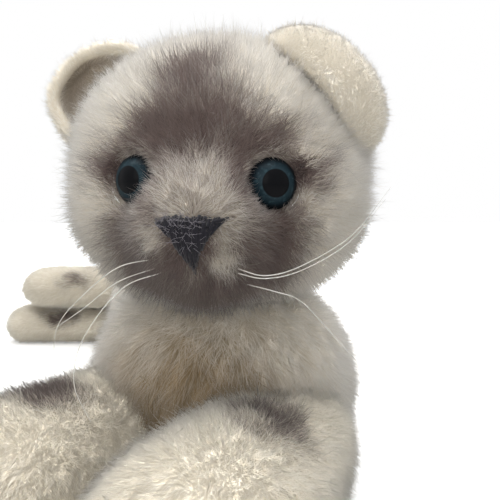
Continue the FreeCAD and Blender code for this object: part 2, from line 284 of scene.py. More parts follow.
def growFur(name, body, material, roots, normals, lengths, lean, mask, coat, rng):
    # Each strand is a spike with one flat side up. It leaves its root along the normal tipped over by
    # lean, bends further that way, and is drawn in to its neighbours by a ripple, which makes tufts.
    count = len(roots)
    stray = unit(rng.normal(size=(count, 3)))
    tuft = ripple(roots, coat["tuftSize"], coat["seed"]) * coat["tuftPull"]
    rise = unit(normals + lean * coat["lean"] + tuft * strand["tuftLow"] + stray * coat["stray"])
    fall = unit(normals * coat["tipLift"] + lean * coat["lean"] * strand["leanHigh"] + tuft
                + stray * coat["stray"] * strand["strayHigh"])
    length = (lengths * rng.uniform(1 - coat["lengthSpread"], 1 + coat["lengthSpread"], count))[:, None]
    flat = unit(np.cross(rise, normals + stray * 0.05))
    top = unit(np.cross(flat, rise))
    width = coat["width"] * rng.uniform(*strand["widths"], (count, 1))
    base = roots - normals * coat["sink"]
    section = [flat * across + top * up for across, up in strand["section"]]
    if coat["bent"]:
        bend = strand["kneeAt"]
        knee = roots + rise * length * bend
        tip = knee + fall * length * strand["pastKnee"]
        rings = [base + s * width for s in section]
        rings += [knee + s * width * strand["kneeWidth"] for s in section] + [tip]
        along = [0, 0, 0, bend, bend, bend, 1]
        faces = [[0, 4, 1], [0, 3, 4], [1, 5, 2], [1, 4, 5], [2, 3, 0], [2, 5, 3],
                 [3, 6, 4], [4, 6, 5], [5, 6, 3]]
    else:
        tip = roots + unit(rise + fall) * length
        rings = [base + s * width for s in section] + [tip]
        along = [0, 0, 0, 1]
        faces = [[0, 3, 1], [1, 3, 2], [2, 3, 0]]
    corners = len(rings)
    points = np.stack(rings, axis=1)
    points[..., 2] = np.maximum(points[..., 2], strand["lowest"])
    softened = unit(normals + rise * strand["shadeRise"] + top * strand["shadeTop"])
    shade = np.repeat(softened[:, None], corners, axis=1)
    tone = np.repeat(rng.uniform(0, 1, (count, 1)), corners, axis=1)
    read = roots + normals * strand["maskOut"] + stray * strand["maskStray"]
    tint = np.repeat(mask(read)[:, None], corners, axis=1)
    along = np.repeat(np.array(along, dtype=float)[None], count, axis=0)
    faces = np.array(faces)
    parts = max(1, math.ceil(count / (mostTriangles // len(faces))))
    order = rng.permutation(count)
    for number, chosen in enumerate(np.array_split(order, parts)):
        n = len(chosen)
        mesh = bpy.data.meshes.new(f"{name}_{number + 1}" if parts > 1 else name)
        index = (np.arange(n)[:, None, None] * corners + faces[None]).reshape(-1)
        mesh.vertices.add(n * corners)
        mesh.vertices.foreach_set("co", (points[chosen] * mm).astype(np.float32).ravel())
        mesh.loops.add(len(index))
        mesh.loops.foreach_set("vertex_index", index.astype(np.int32))
        mesh.polygons.add(len(index) // 3)
        mesh.polygons.foreach_set("loop_start", np.arange(0, len(index), 3, dtype=np.int32))
        mesh.update(calc_edges=True)
        mesh.shade_smooth()
        for key, values in (("along", along), ("tone", tone), ("taupe", tint)):
            setAttribute(mesh, key, values[chosen].ravel())
        mesh.normals_split_custom_set_from_vertices(shade[chosen].reshape(-1, 3))
        addPiece(mesh, body, material).visible_shadow = False
    print(name, count, "strands in", parts, "pieces")


def makeFur(name, body, grid, normals, coat, density, flow, mask, material, length=None):
    # A dense undercoat of straight fibres, and over it longer curved wisps that stray more. The coat says
    # the width, density, share of the length and stray of each.
    for layer, bent in (("under", False), ("wisps", True)):
        width, dense, longer, stray = coat[layer]
        own = dict(coat, width=width, stray=stray, bent=bent)
        rng = np.random.default_rng(coat["seed"] + len(layer))
        roots, up = scatter(grid, normals, lambda points: dense * density(points), rng)
        way = unit(squareTo(flow(roots, up), up))
        lengths = longer * (length(roots) if length else coat["length"])
        growFur(f"{name}_{layer}", body, material, roots, up, lengths, way, mask, own, rng)


def plushMaterial(name, colours):
    # Acrylic pile, knitted and brushed: soft, without gloss, and darker at the fibres' roots, painted shade
    # for the shade between them.
    # It turns taupe where the taupe attribute says: airbrushed marks and the ears' lining, and on the body
    # painted shade under the chin and between the front legs; past 1 it turns near black.
    material = newMaterial(name)
    along, tone, taupe = [readAttribute(material, key) for key in ("along", "tone", "taupe")]
    blotch = objectNoise(material, 90.0, 3.0)
    # The root colours are painted shade: each fibre darkens towards its root, standing in for the shade
    # between fibres, which cast no shadows.
    cream = mixColours(material, along, colours["creamRootShade"], colours["creamTip"])
    smoke = mixColours(material, along, colours["taupeRootShade"], colours["taupeTip"])
    ragged = scaled(material, blotch.outputs["Fac"], 0.5, -0.25)
    fibre = scaled(material, tone, 0.36, -0.18)
    spread = addNode(material, "ShaderNodeMath", {"operation": "ADD"}, {0: ragged, 1: fibre})
    near = addNode(material, "ShaderNodeMath", {"operation": "MULTIPLY", 1: 3.0, "use_clamp": True},
                   {0: taupe})
    amount = addNode(material, "ShaderNodeMath", {"operation": "MULTIPLY_ADD", "use_clamp": True},
                     {0: spread.outputs[0], 1: near.outputs[0], 2: taupe})
    sure = mapRange(material, amount.outputs[0], 0.08, 0.92, kind="SMOOTHSTEP")
    colour = mixColours(material, sure, cream, smoke)
    colour = mixColours(material, mapRange(material, taupe, 1.0, 1.6), colour, colours["black"])
    bright = scaled(material, tone, 0.14, 0.93)
    varied = addNode(material, "ShaderNodeHueSaturation", links={"Color": colour, "Value": bright})
    shader = addNode(material, "ShaderNodeBsdfPrincipled",
                     {"subsurface_method": "BURLEY", "Subsurface Weight": 0.75,
                      "Subsurface Radius": (1, 1, 1), "Subsurface Scale": 0.002,
                      "Roughness": 0.92, "Specular IOR Level": 0.12,
                      "Sheen Weight": colours["sheen"], "Sheen Roughness": 0.6},
                     {"Base Color": varied.outputs[0]})
    return finishMaterial(material, shader)


# Root colours: painted shade deep in the pile, darker than the tips.
furColours = {
    "creamTip": "#F3EFE8", "creamRootShade": "#D3C6AE",
    "taupeTip": "#7A6962", "taupeRootShade": "#453835", "black": "#1E1A1E",
    "sheen": 0.2,
}
longPlush = plushMaterial("brushed_acrylic_plush", furColours)
# On the body the taupe colours are a warm tan, used only for painted shade under the chin and between the
# front legs.
bodyColours = dict(furColours, taupeTip="#B79E7B", taupeRootShade="#8B7554")
bodyPlush = plushMaterial("brushed_acrylic_plush_body", bodyColours)
legColours = dict(furColours, creamTip="#E2DDD2", creamRootShade="#C2B69E",
                  taupeTip="#5E504B", taupeRootShade="#352A28")
legPlush = plushMaterial("brushed_acrylic_plush_legs", legColours)
velourColours = {
    "creamTip": "#F6F1E7", "creamRootShade": "#DACDB4",
    "taupeTip": "#D3C6B6", "taupeRootShade": "#B3A48F", "black": "#1E1A1E",
    "sheen": 0.3,
}
velour = plushMaterial("short_acrylic_velour", velourColours)

headShape = {
    "lumps": [
        ((0, -72, 97), (38.5, 34, 30.5)),
        ((17, -84, 84), (20, 20, 19)), ((-15.5, -84, 84), (19, 20, 18.5)),
        ((0, -99, 80), (16.5, 16, 13.5)),
        ((0, -94, 72), (13, 13, 10)),
        ((0, -75, 70), (26, 26, 10)),
    ],
    "softness": 2.2,
    "eyes": [(16.5, -102.0, 89.0), (-15.5, -102.0, 90.0)], "eyeOutward": math.radians(23),
    "eyeSink": 0.6, "socketAhead": 7.0, "socketRadius": 8.7, "socketBlend": 0.8,
    "core": [(0, -80, 80), (0, -80, 90)], "neckHeight": 60.4, "neckBlend": 1.0,
}


def eyeAxes():
    # For each eye: its seat in the skin and the way it looks, with the head straight.
    found = []
    for place in headShape["eyes"]:
        angle = math.copysign(headShape["eyeOutward"], place[0])
        out = np.array([math.sin(angle), -math.cos(angle), 0])
        found.append((np.array(place) - out * headShape["eyeSink"], out))
    return found


def headField(points):
    straight = turnHead(points, back=True)
    d = lumpField(straight, headShape["lumps"], headShape["softness"])
    d = softMax(d, headShape["neckHeight"] - straight[..., 2], headShape["neckBlend"])
    for seat, out in eyeAxes():
        hollow = seat + out * headShape["socketAhead"]
        inside = headShape["socketRadius"] - np.linalg.norm(straight - hollow, axis=-1)
        d = softMax(d, inside, headShape["socketBlend"])
    return d


faceMarks = {
    # centre, spread and strength of each blotch, with the head straight: dark and pale are airbrushed
    # marks, black is near black at the corners of the eyes and under the nose
    "dark": [
        ((-2, -98, 112), (10, 18, 11), 0.95), ((-1, -106, 102), (15, 14, 7), 0.97),
        ((13, -103, 97), (8, 10, 6), 0.95), ((-12, -103, 98), (8, 10, 6), 0.95),
        ((21, -97, 98), (6, 10, 4), 0.5), ((-20, -97, 99), (6, 10, 4), 0.5),
        ((24.5, -96, 91), (5.5, 10, 6), 0.95), ((-24, -96, 92), (6, 10, 6), 0.9),
        ((9.5, -107, 88), (3, 8, 7), 0.85), ((-9, -107, 89), (2.6, 8, 6), 0.6),
        ((15, -103, 81), (8, 10, 6), 0.8), ((-16, -101, 81), (8, 10, 6), 0.7),
        ((-9, -110, 82), (5, 9, 4.5), 0.5), ((15, -106, 76), (4, 9, 8), 0.85),
        ((15, -104, 71), (8, 14, 9), 0.85), ((-13, -105, 70), (10, 14, 8), 0.95),
        ((0, -112, 67), (17, 14, 7), 0.9), ((0, -104, 63), (15, 15, 6), 0.8),
        ((0, -102, 92), (29, 24, 24), 0.15),
        ((23, -96, 78), (8, 12, 9), 0.4), ((-21, -96, 78), (7, 12, 9), 0.2),
        ((0, -112, 87), (14, 14, 11), 0.42), ((-13, -108, 78), (7, 10, 6), 0.45),
        ((10, -110, 80), (4.5, 9, 6), 0.55),
    ],
    "pale": [
        ((-9, -112, 76), (3.2, 9, 3.2), 0.4), ((7.5, -112, 73), (3.2, 9, 4), 0.45),
        ((0, -116, 68), (2.0, 7, 2.2), 0.45),
    ],
    "black": [
        ((23.6, -98, 92.5), (3.0, 6, 2.6), 0.9), ((-22.6, -98, 93.5), (2.6, 6, 2.6), 0.7),
        ((0, -116, 76), (5.5, 6, 4.5), 0.9), ((9.3, -107, 92), (1.4, 5, 4), 0.3),
    ],
}


def blots(points, marks):
    left = np.ones(points.shape[:-1])
    for centre, spread, strength in marks:
        far = (((points - np.array(centre)) / np.array(spread)) ** 2).sum(-1)
        left *= 1 - strength * np.exp(-far)
    return 1 - left


def faceMask(points):
    straight = turnHead(points, back=True)
    warped = straight + ripple(straight, 13.0, 5) * 1.6 + ripple(straight, 5.0, 6) * 0.8
    taupe = blots(warped, faceMarks["dark"]) * (1 - blots(warped, faceMarks["pale"]))
    return taupe + blots(straight, faceMarks["black"])


def thinned(y, pile):
    # The share of the fur that is left behind the face or chest, as a slope between full and thin.
    ahead = np.clip((pile["thinFrom"] - y) / pile["fade"], 0, 1)
    return pile["behind"] + (1 - pile["behind"]) * ahead


def nearEyes(straight):
    # Distance from the nearer eye's axis, for points in front of its seat.
    distances = []
    for seat, out in eyeAxes():
        q = straight - seat
        distances.append(np.linalg.norm(q - (q @ out)[..., None] * out, axis=-1) + 100 * ((q @ out) < -8))
    return np.minimum(*distances)


def addSkin(name, body, grid, mask, replaced, material=longPlush):
    mesh, points = closedMesh(name, grid)
    # The skin under the fur takes a colour a quarter of the way from root to tip: painted shade under the
    # pile.
    setAttribute(mesh, "along", np.full(len(points), 0.25))
    setAttribute(mesh, "tone", np.full(len(points), 0.5))
    setAttribute(mesh, "taupe", mask(points))
    piece = addPiece(mesh, body, material)
    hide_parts(*replaced)


longCoat = {"lengthSpread": 0.35, "sink": 0.2}
headPile = {"behind": 0.5, "thinFrom": -60, "fade": 25, "bareRound": 6.3, "neckTop": 61.5, "neckShare": 0.3}
headCoat = dict(longCoat, tuftSize=4.2, tuftPull=0.5, seed=11, lean=0.62, tipLift=0.6,
                under=(0.2, 10.0, 0.95, 0.58), wisps=(0.12, 1.0, 1.25, 1.0))
headLengths = {
    "full": 5.6, "muzzleLess": 2.6, "muzzle": (0, -116, 82), "muzzleSpread": (13, 14, 13),
    "nose": (0, -116, 77), "noseSpread": (1.3, math.sqrt(2), 1),
    # the least length near the eye and nose, how fast it grows from there, and where that starts
    "byEye": (1.6, 0.55, 6.0), "byNose": (1.8, 0.45, 4.0),
}


def headLength(straight):
    # Short on the muzzle and round the eyes and nose, longest on the cheeks and crown.
    far = (straight - np.array(headLengths["muzzle"])) / headLengths["muzzleSpread"]
    length = headLengths["full"] - headLengths["muzzleLess"] * np.exp(-(far ** 2).sum(-1))
    nose = np.linalg.norm((straight - np.array(headLengths["nose"])) / headLengths["noseSpread"], axis=-1)
    for distance, key in ((nearEyes(straight), "byEye"), (nose, "byNose")):
        least, slope, start = headLengths[key]
        length = np.minimum(length, least + slope * np.maximum(distance - start, 0))
    return length


def makeHead():
    grid = wrapAround(headField, turnHead(headShape["core"]), columns=220, capRows=60, bodyRows=6,
                      reach=80)
    normals = fieldNormals(headField, grid)
    addSkin("head_skin", "head", grid, faceMask,
            ["head_crown_gusset", "head_chin_panel", "head_left_panel", "head_right_panel"])

    def density(points):
        straight = turnHead(points, back=True)
        share = thinned(straight[..., 1], headPile)
        share = np.where(nearEyes(straight) < headPile["bareRound"], 0.0, share)
        return np.where(straight[..., 2] < headPile["neckTop"], headPile["neckShare"], share)

    def length(points):
        return headLength(turnHead(points, back=True))

    def flow(points, up):
        away = points - turnHead(np.array([0, -116.0, 80.0]))
        way = unit(squareTo(away, up))
        return way + np.array([0, 0, -0.35]) * np.clip((100 - points[:, 2:3]) / 30, 0, 1)

    makeFur("head_fur", "head", grid, normals, headCoat, density, flow, faceMask,
            longPlush, length)


makeHead()

earShape = {
    # centre, outwards, opening and the radii along the base, in depth and outwards
    "left": ((27.3, -78.2, 113.2), (0.12, -0.98, 0.10), (-0.75, -0.1, -0.66), (20, 14, 17.5)),
    "right": ((-34, -68, 116), (-0.72, 0.05, 0.69), (0.25, -0.95, 0.1), (17.5, 12, 18)),
    "thick": 3.4, "lip": 1.5, "buried": 0.55, "wallRows": 26, "rimRows": 7, "columns": 84,
}
earCoat = {"tuftSize": 4.0, "tuftPull": 0.3, "seed": 61, "lean": 0.7, "tipLift": 0.6,
           "lengthSpread": 0.3, "sink": 0.15, "length": 1.7,
           "under": (0.26, 5.0, 1.0, 0.35), "wisps": (0.15, 0.4, 1.5, 0.6)}


def makeEar(side):
    # Half an ellipsoid's shell of even thickness, with a round rim: the wall's middle runs from the deep
    # pole to a little past the widest line, and is offset outwards, round the rim, then inwards.
    centre, outwards, opening, radii = [np.array(v, dtype=float) for v in earShape[side]]
    outwards = unit(outwards)
    opening = unit(opening - outwards * (opening @ outwards))
    along = np.cross(outwards, opening)
    frameAxes = np.stack([along, opening, outwards])
    half = earShape["thick"] / 2
    radii = radii - half
    rim = math.acos(-earShape["lip"] / radii[1])
    wall, bend = earShape["wallRows"], earShape["rimRows"]
    polar = np.concatenate([np.linspace(0.0, rim, wall), np.full(bend, rim), np.linspace(rim, 0.0, wall)])
    roll = np.concatenate([np.zeros(wall), np.linspace(0, math.pi, bend + 2)[1:-1], np.full(wall, math.pi)])
    turn = fullTurn(earShape["columns"])
    p, r, t = polar[:, None], roll[:, None], turn[None]
    ball = np.stack([np.sin(p) * np.cos(t), -np.cos(p) + 0 * t, np.sin(p) * np.sin(t)], axis=-1)
    tangent = np.stack([np.cos(p) * np.cos(t), np.sin(p) + 0 * t, np.cos(p) * np.sin(t)], axis=-1)
    scale = np.broadcast_to(radii, ball.shape).copy()
    scale[..., 2] = np.where(ball[..., 2] < 0, radii[2] * earShape["buried"], radii[2])
    normal = unit(ball / scale)
    normal = unit(normal * np.cos(r)[..., None] + unit(tangent * scale) * np.sin(r)[..., None])
    middle = ball * scale
    middle = middle + ripple(middle, 17.0, 63) * 0.7 * np.sin(p)[..., None]
    headSpace = centre + (middle + normal * half) @ frameAxes
    grid, normals = turnHead(headSpace), turnHead(normal @ frameAxes + [0, neckY, 0]) - [0, neckY, 0]
    across = np.cross(grid[10] - grid[9], np.roll(grid[9], -1, axis=0) - grid[9])
    if (across * normals[9]).sum() < 0:
        grid, normals = grid[:, ::-1], normals[:, ::-1]

    def mask(points):
        local = (turnHead(points, back=True) - centre) @ frameAxes.T
        local[..., 2] /= np.where(local[..., 2] < 0, earShape["buried"], 1)
        inside = np.clip((0.99 - np.linalg.norm(local / radii, axis=-1)) / 0.06, 0, 1)
        return 0.95 * inside * np.clip((earShape["lip"] + 0.6 - local[..., 1]) / 2.0, 0, 1)

    addSkin(f"ear_{side}_cup", f"ear_{side}", grid, mask,
            [f"ear_back_{side}", f"ear_lining_{side}"], material=velour)

    def density(points):
        return np.where(headField(points) < -furDepth["ear"], 0.0, 1.0)

    def flow(points, up):
        return np.broadcast_to(turnHead(outwards + [0, neckY, 0]) - [0, neckY, 0], points.shape)

    makeFur(f"ear_{side}_pile", f"ear_{side}", grid, normals, earCoat, density, flow, mask,
            velour)


def curve(points, count):
    # Hermite pieces through the points, with each tangent half the way between its neighbours.
    p = np.array(points, dtype=float)
    slope = np.gradient(p, axis=0)
    u = np.linspace(0, len(p) - 1, count)
    i = np.minimum(u.astype(int), len(p) - 2)
    f = (u - i)[:, None]
    return ((2 * f ** 3 - 3 * f ** 2 + 1) * p[i] + (f ** 3 - 2 * f ** 2 + f) * slope[i]
            + (3 * f ** 2 - 2 * f ** 3) * p[i + 1] + (f ** 3 - f ** 2) * slope[i + 1])


def tubes(name, lines, radii, sides):
    # A round tube along each line, closed by a point at both ends; radii has one value per line's point.
    points, faces, along = [], [], []
    for line, radius in zip(lines, radii):
        heading = unit(np.gradient(line, axis=0))
        one = unit(np.cross(heading, [0.3, 0.2, 0.93]))
        two = np.cross(heading, one)
        turn = fullTurn(sides)
        ring = (line[:, None] + (one[:, None] * np.cos(turn)[None, :, None]
                                 + two[:, None] * np.sin(turn)[None, :, None]) * radius[:, None, None])
        first, count = len(points), len(line)
        points += ring.reshape(-1, 3).tolist() + [line[0].tolist(), line[-1].tolist()]
        along += np.repeat(np.linspace(0, 1, count), sides).tolist() + [0, 1]
        start, end = first + count * sides, first + count * sides + 1
        for j in range(sides):
            k = (j + 1) % sides
            faces += [(first + i * sides + j, first + i * sides + k, first + (i + 1) * sides + k,
                       first + (i + 1) * sides + j) for i in range(count - 1)]
            faces += [(start, first + k, first + j), (end, end - 1 - sides + j, end - 1 - sides + k)]
    mesh = bpy.data.meshes.new(name)
    mesh.from_pydata((np.array(points) * mm).tolist(), [], faces)
    mesh.shade_smooth()
    setAttribute(mesh, "along", np.array(along))
    return mesh


def onFace(x, z, lift):
    # The head's skin in front of (x, z), with the head straight, moved out by lift.
    start = np.stack([x, np.full_like(x, -90.0), z], axis=-1)
    ahead = np.array([0, -1.0, 0])
    far = findSkin(lambda out: headField(turnHead(start + ahead * out[:, None])) > 0, np.full(len(x), 60.0))
    start[:, 1] -= far + lift
    return turnHead(start)


noseShape = {
    "top": 81.3, "bottom": 69.6, "half": 7.5, "spacing": 0.62, "thread": 0.45, "height": 1.3, "seed": 71,
    "steps": 9, "sides": 8, "wornFibres": 110,
    # how unevenly the stitches lie, and their threads' range of widths
    "topSpread": 0.25, "endSpread": 0.4, "footSpread": 0.3, "threads": (0.85, 1.1),
    # how near the middle each layer's stitches end, as a share, and how long the outermost ones are
    "footShares": (0.5, 0.62), "sideLength": 2.2, "layerLift": 0.5, "sunk": 0.3,
}


def threadMaterial(name, colours):
    # Six-strand cotton floss: dull, with painted shade in the grooves between its plies, where the fine
    # grain is low, and a few worn pale fibres.
    material = newMaterial(name)
    grain = objectNoise(material, 1400.0, 4.0)
    worn = objectNoise(material, 220.0, 2.0)
    # The darker colour is painted shade in the grooves, where the fine grain that also drives the bump is
    # low.
    base = mixColours(material, grain.outputs["Fac"], colours["grooveShade"], colours["ply"])
    paler = mapRange(material, worn.outputs["Fac"], 0.56, 0.78, toHigh=0.45)
    colour = mixColours(material, paler, base, colours["worn"])
    bump = addNode(material, "ShaderNodeBump", {"Strength": 0.6, "Distance": 0.0002},
                   {"Height": grain.outputs["Fac"]})
    shader = addNode(material, "ShaderNodeBsdfPrincipled", {"Roughness": 0.75, "Specular IOR Level": 0.2,
                                                            "Sheen Weight": 0.15},
                     {"Base Color": colour, "Normal": bump.outputs[0]})
    return finishMaterial(material, shader)


def makeNose():
    # Satin stitches fan from the top edge in to the point, in two layers; stray fibres stand off them.
    rng = np.random.default_rng(noseShape["seed"])
    lines, radii = [], []
    for layer in range(2):
        for x in np.arange(-noseShape["half"], noseShape["half"] + 0.01, noseShape["spacing"]):
            top = x + rng.normal() * noseShape["topSpread"]
            share = abs(x) / noseShape["half"]
            high = noseShape["top"] + rng.normal() * noseShape["endSpread"] - 0.5 * share ** 2
            deep = noseShape["top"] - noseShape["bottom"] - noseShape["sideLength"]
            low = noseShape["bottom"] + share * deep + rng.normal() * noseShape["endSpread"]
            t = np.linspace(0, 1, noseShape["steps"])
            foot = x * noseShape["footShares"][layer] + rng.normal() * noseShape["footSpread"]
            lift = (noseShape["height"] * np.sin(np.pi * np.clip(t, 0.02, 0.98)) ** 0.45
                    + layer * noseShape["layerLift"] - noseShape["sunk"])
            lines.append(onFace(top + (foot - top) * t, high + (low - high) * t, lift))
            radii.append(np.full(len(t), noseShape["thread"]) * rng.uniform(*noseShape["threads"]))
    floss = threadMaterial("nose_cotton_floss", {"grooveShade": "#09080D", "ply": "#201E27", "worn": "#4A4650"})
    mesh = tubes("nose_satin_stitches", lines, radii, noseShape["sides"])
    stitches = addPiece(mesh, "head", floss)
    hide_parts("nose_stitching")
    hairs, sizes = [], []
    for _ in range(noseShape["wornFibres"]):
        x = rng.uniform(-0.8, 0.3) * noseShape["half"]
        z = noseShape["top"] - rng.uniform(0.0, 0.75) * (1 - abs(x) / noseShape["half"] * 0.8) * 9
        root = onFace(np.array([x]), np.array([z]), 1.2)[0]
        bend = rng.normal(size=3) * [1.3, 0.5, 1.0]
        hairs.append(curve([root, root + [0, -0.7, 0] + bend * 0.5, root + [0, -0.9, 0.3] + bend * 1.4], 6))
        sizes.append(np.linspace(0.05, 0.02, 6))
    lint = threadMaterial("worn_floss_fibres", {"grooveShade": "#5E5961", "ply": "#A09BA1", "worn": "#D8D3D0"})
    addPiece(tubes("nose_frayed_fibres", hairs, sizes, 4), "head", lint)


whiskerShape = {
    # points from each root to its tip, with the head at rest, and the radius at the root
    "left": [
        [(6, -110, 69), (12, -114, 68.4), (20, -112, 70), (31, -106, 75.6), (41, -99, 85.5)],
        [(6, -110, 70), (12, -114, 69.0), (20, -112, 71), (32, -106, 77.5), (42.5, -98, 88.5)],
        [(8, -106, 66), (14, -110, 65), (20, -108, 62.5), (27, -104, 55), (37, -98, 43.5)],
    ],
    "right": [
        [(-12, -106, 72), (-20, -112, 70.5), (-29, -110, 63.5), (-35, -108, 56.5), (-36.5, -107, 47.5)],
        [(-11, -107, 69), (-19, -113, 66), (-26.5, -116, 56), (-27, -121, 48.0), (-22.5, -125, 41.5)],
        [(-12, -105, 70), (-20, -112, 67.4), (-27, -113, 62), (-33.5, -112, 57.5)],
    ],
    "radius": 0.14, "tipShare": 0.35, "steps": 40, "sides": 8,
    "cloudy": "#E4E0D4", "clear": "#F8F7F2",
}


def whiskerMaterial():
    # Nylon monofilament: half clear, glossy, a little cloudy along its length.
    material = newMaterial("nylon_monofilament")
    cloud = objectNoise(material, 160.0, 2.0)
    colour = mixColours(material, cloud.outputs["Fac"], whiskerShape["cloudy"], whiskerShape["clear"])
    rough = mapRange(material, cloud.outputs["Fac"], 0, 1, 0.15, 0.35)
    shader = addNode(material, "ShaderNodeBsdfPrincipled", {"Transmission Weight": 0.35, "IOR": 1.53},
                     {"Base Color": colour, "Roughness": rough})
    return finishMaterial(material, shader)


def makeWhiskers():
    nylon = whiskerMaterial()
    for side in ("left", "right"):
        lines = [curve(points, whiskerShape["steps"]) for points in whiskerShape[side]]
        thin = whiskerShape["radius"] * np.linspace(1, whiskerShape["tipShare"], whiskerShape["steps"])
        mesh = tubes(f"whisker_bristles_{side}", lines, [thin] * len(lines), whiskerShape["sides"])
        piece = addPiece(mesh, "head", nylon)
        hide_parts(f"whiskers_{side}")


for side in ("left", "right"):
    makeEar(side)
makeNose()
makeWhiskers()


bodyShape = {
    "lumps": [
        ((0, -72, 42), (31, 27, 22)), ((0, -40, 26), (42, 53, 34)),
        ((-6, 18, 25), (42, 69, 35)), ((-24, 80, 26), (45, 51, 37)),
    ],
    "softness": 4.0,
    # painted shade: a warm tan under the chin and low between the front legs, where the head and legs shade
    # the chest
    "chestShade": [((-4, -92, 44), (26, 26, 15), 0.7), ((-8, -88, 24), (22, 26, 16), 0.9)],
    "spine": [(0, -52, 27), (0, -30, 27), (-6, 18, 27), (-16, 55, 27), (-23, 85, 27)],
}
bodyPile = {"behind": 0.36, "thinFrom": -35, "fade": 30, "floor": 3, "neckTop": 61, "neckShare": 0.3}
bodyCoat = dict(longCoat, tuftSize=7.0, tuftPull=0.45, seed=21, lean=0.75, tipLift=0.5,
                length=6.5, under=(0.27, 4.8, 0.95, 0.42), wisps=(0.14, 0.3, 1.2, 0.8))


def bodyField(points):
    return lumpField(points, bodyShape["lumps"], bodyShape["softness"], 0.3)


def makeBody():
    grid = wrapAround(bodyField, bodyShape["spine"], columns=160, capRows=40, bodyRows=90, reach=90)
    normals = fieldNormals(bodyField, grid)

    def mask(points):
        # Painted shade on the chest, from the blots under the chin and between the front legs.
        return blots(points, bodyShape["chestShade"])

    addSkin("body_skin", "torso", grid, mask,
            ["torso_left_panel", "torso_right_panel", "torso_belly_panel"], material=bodyPlush)

    def density(points):
        share = thinned(points[..., 1], bodyPile)
        share = np.where(points[..., 2] < bodyPile["floor"], floorShare, share)
        for limb in frontLegs + hindLegs:
            share = np.where(limb["field"](points) < -furDepth["limb"], 0.0, share)
        return np.where(points[..., 2] > bodyPile["neckTop"], bodyPile["neckShare"], share)

    def flow(points, up):
        back = np.clip((points[:, 1:2] + 60) / 60, 0, 1)
        return np.array([0, 0, -1.0]) * (1 - 0.6 * back) + np.array([0, 0.9, 0]) * back

    makeFur("body_fur", "torso", grid, normals, bodyCoat, density, flow, mask, bodyPlush)


legShape = {
    "lumps": 7, "softness": 2.0, "inset": 0.6, "floor": 2.0,
    "frontReach": 58, "frontRoot": (17.5, 17.5, 17.5), "frontToe": (20, 20, 19.5), "hind": (15, 15, 12),
}


def boneField(root, toe, rootRadii, toeRadii):
    # Rounded lumps set closely along the line from root to toe, with radii that change evenly.
    lumps = []
    for t in np.linspace(0, 1, legShape["lumps"]):
        centre = np.array(root) * (1 - t) + np.array(toe) * t
        radii = np.array(rootRadii) * (1 - t) + np.array(toeRadii) * t
        lumps.append((centre, radii - legShape["inset"]))
    return lambda points: lumpField(points, lumps, legShape["softness"], 0.3)


def makeLimb(body, root, toe, along, rootRadii, toeRadii):
    return {"body": body, "root": np.array(root), "toe": toe, "along": along,
            "field": boneField(root, toe, rootRadii, toeRadii)}


def makeFrontLeg(side, root, aim):
    angle = math.radians(aim)
    along = np.array([-math.sin(angle), -math.cos(angle), 0])
    toe = np.array(root) + along * legShape["frontReach"]
    toe[2] = legShape["frontToe"][2]
    return makeLimb(f"front_leg_{side}", root, toe, along, legShape["frontRoot"], legShape["frontToe"])


def makeHindLeg(side, root, length):
    along = np.array([-1.0, 0, 0])
    toe = np.array(root) + along * (length - legShape["hind"][0])
    return makeLimb(f"hind_leg_{side}", root, toe, along, legShape["hind"], legShape["hind"])


frontLegs = [makeFrontLeg("left", (19, -80, 17.5), 22.0), makeFrontLeg("right", (-26, -66, 17.5), 24.0)]
hindLegs = [makeHindLeg("left", (-52, 109, 10.8), 95.0), makeHindLeg("right", (-53, 104, 35.3), 81.0)]
frontCoat = dict(longCoat, tuftSize=6.0, tuftPull=0.22, seed=31, lean=0.75, tipLift=0.5,
                 length=4.6, under=(0.21, 7.2, 0.95, 0.42), wisps=(0.12, 0.45, 1.25, 0.75))
hindCoat = {"tuftSize": 5.0, "tuftPull": 0.3, "seed": 41, "lean": 0.8, "tipLift": 0.4,
            "lengthSpread": 0.25, "sink": 0.2, "length": 3.2,
            "under": (0.28, 2.8, 1.0, 0.35), "wisps": (0.16, 0.15, 1.2, 0.6)}
legMarks = {
    "front_leg_left": [((14, -110, 34), (10, 12, 14), 0.95)],
    "front_leg_right": [((-42, -98, 37), (14, 13, 12), 0.95)],
    "hind_leg_left": [((-108, 95, 18), (13, 14, 7), 0.85)],
    "hind_leg_right": [((-97, 90, 43), (13, 14, 7), 0.7)],
}


def makeLeg(leg, coat):
    name = leg["body"]
    nearRoot = leg["root"] + leg["along"] * 1.0
    grid = wrapAround(leg["field"], [nearRoot, leg["toe"]], columns=96, capRows=26, bodyRows=40, reach=40)
    normals = fieldNormals(leg["field"], grid)

    def mask(points):
        warped = points + ripple(points, 12.0, 8) * 1.8 + ripple(points, 5.0, 9)
        return blots(warped, legMarks[name])

    addSkin(f"{name}_skin", name, grid, mask,
            [f"{name}_upper_panel", f"{name}_under_panel"], material=legPlush)

    def density(points):
        share = np.where(points[..., 2] < legShape["floor"], floorShare, 1.0)
        return np.where(bodyField(points) < -furDepth["limb"], 0.0, share)

    def flow(points, up):
        return leg["along"] + np.array([0, 0, -0.5]) + 0.3 * up

    makeFur(f"{name}_fur", name, grid, normals, coat, density, flow, mask, legPlush)


tailShape = {"centre": (-22, 80, 9.5), "curl": 61.0, "sweep": 95.0, "rootY": 126.8, "rootRadius": 9.2,
             "thinner": 2.2, "softness": 1.2, "darkFrom": 28.0, "darkFade": 26.0, "floor": 1.5}
tailCoat = dict(hindCoat, seed=51, length=4.5)


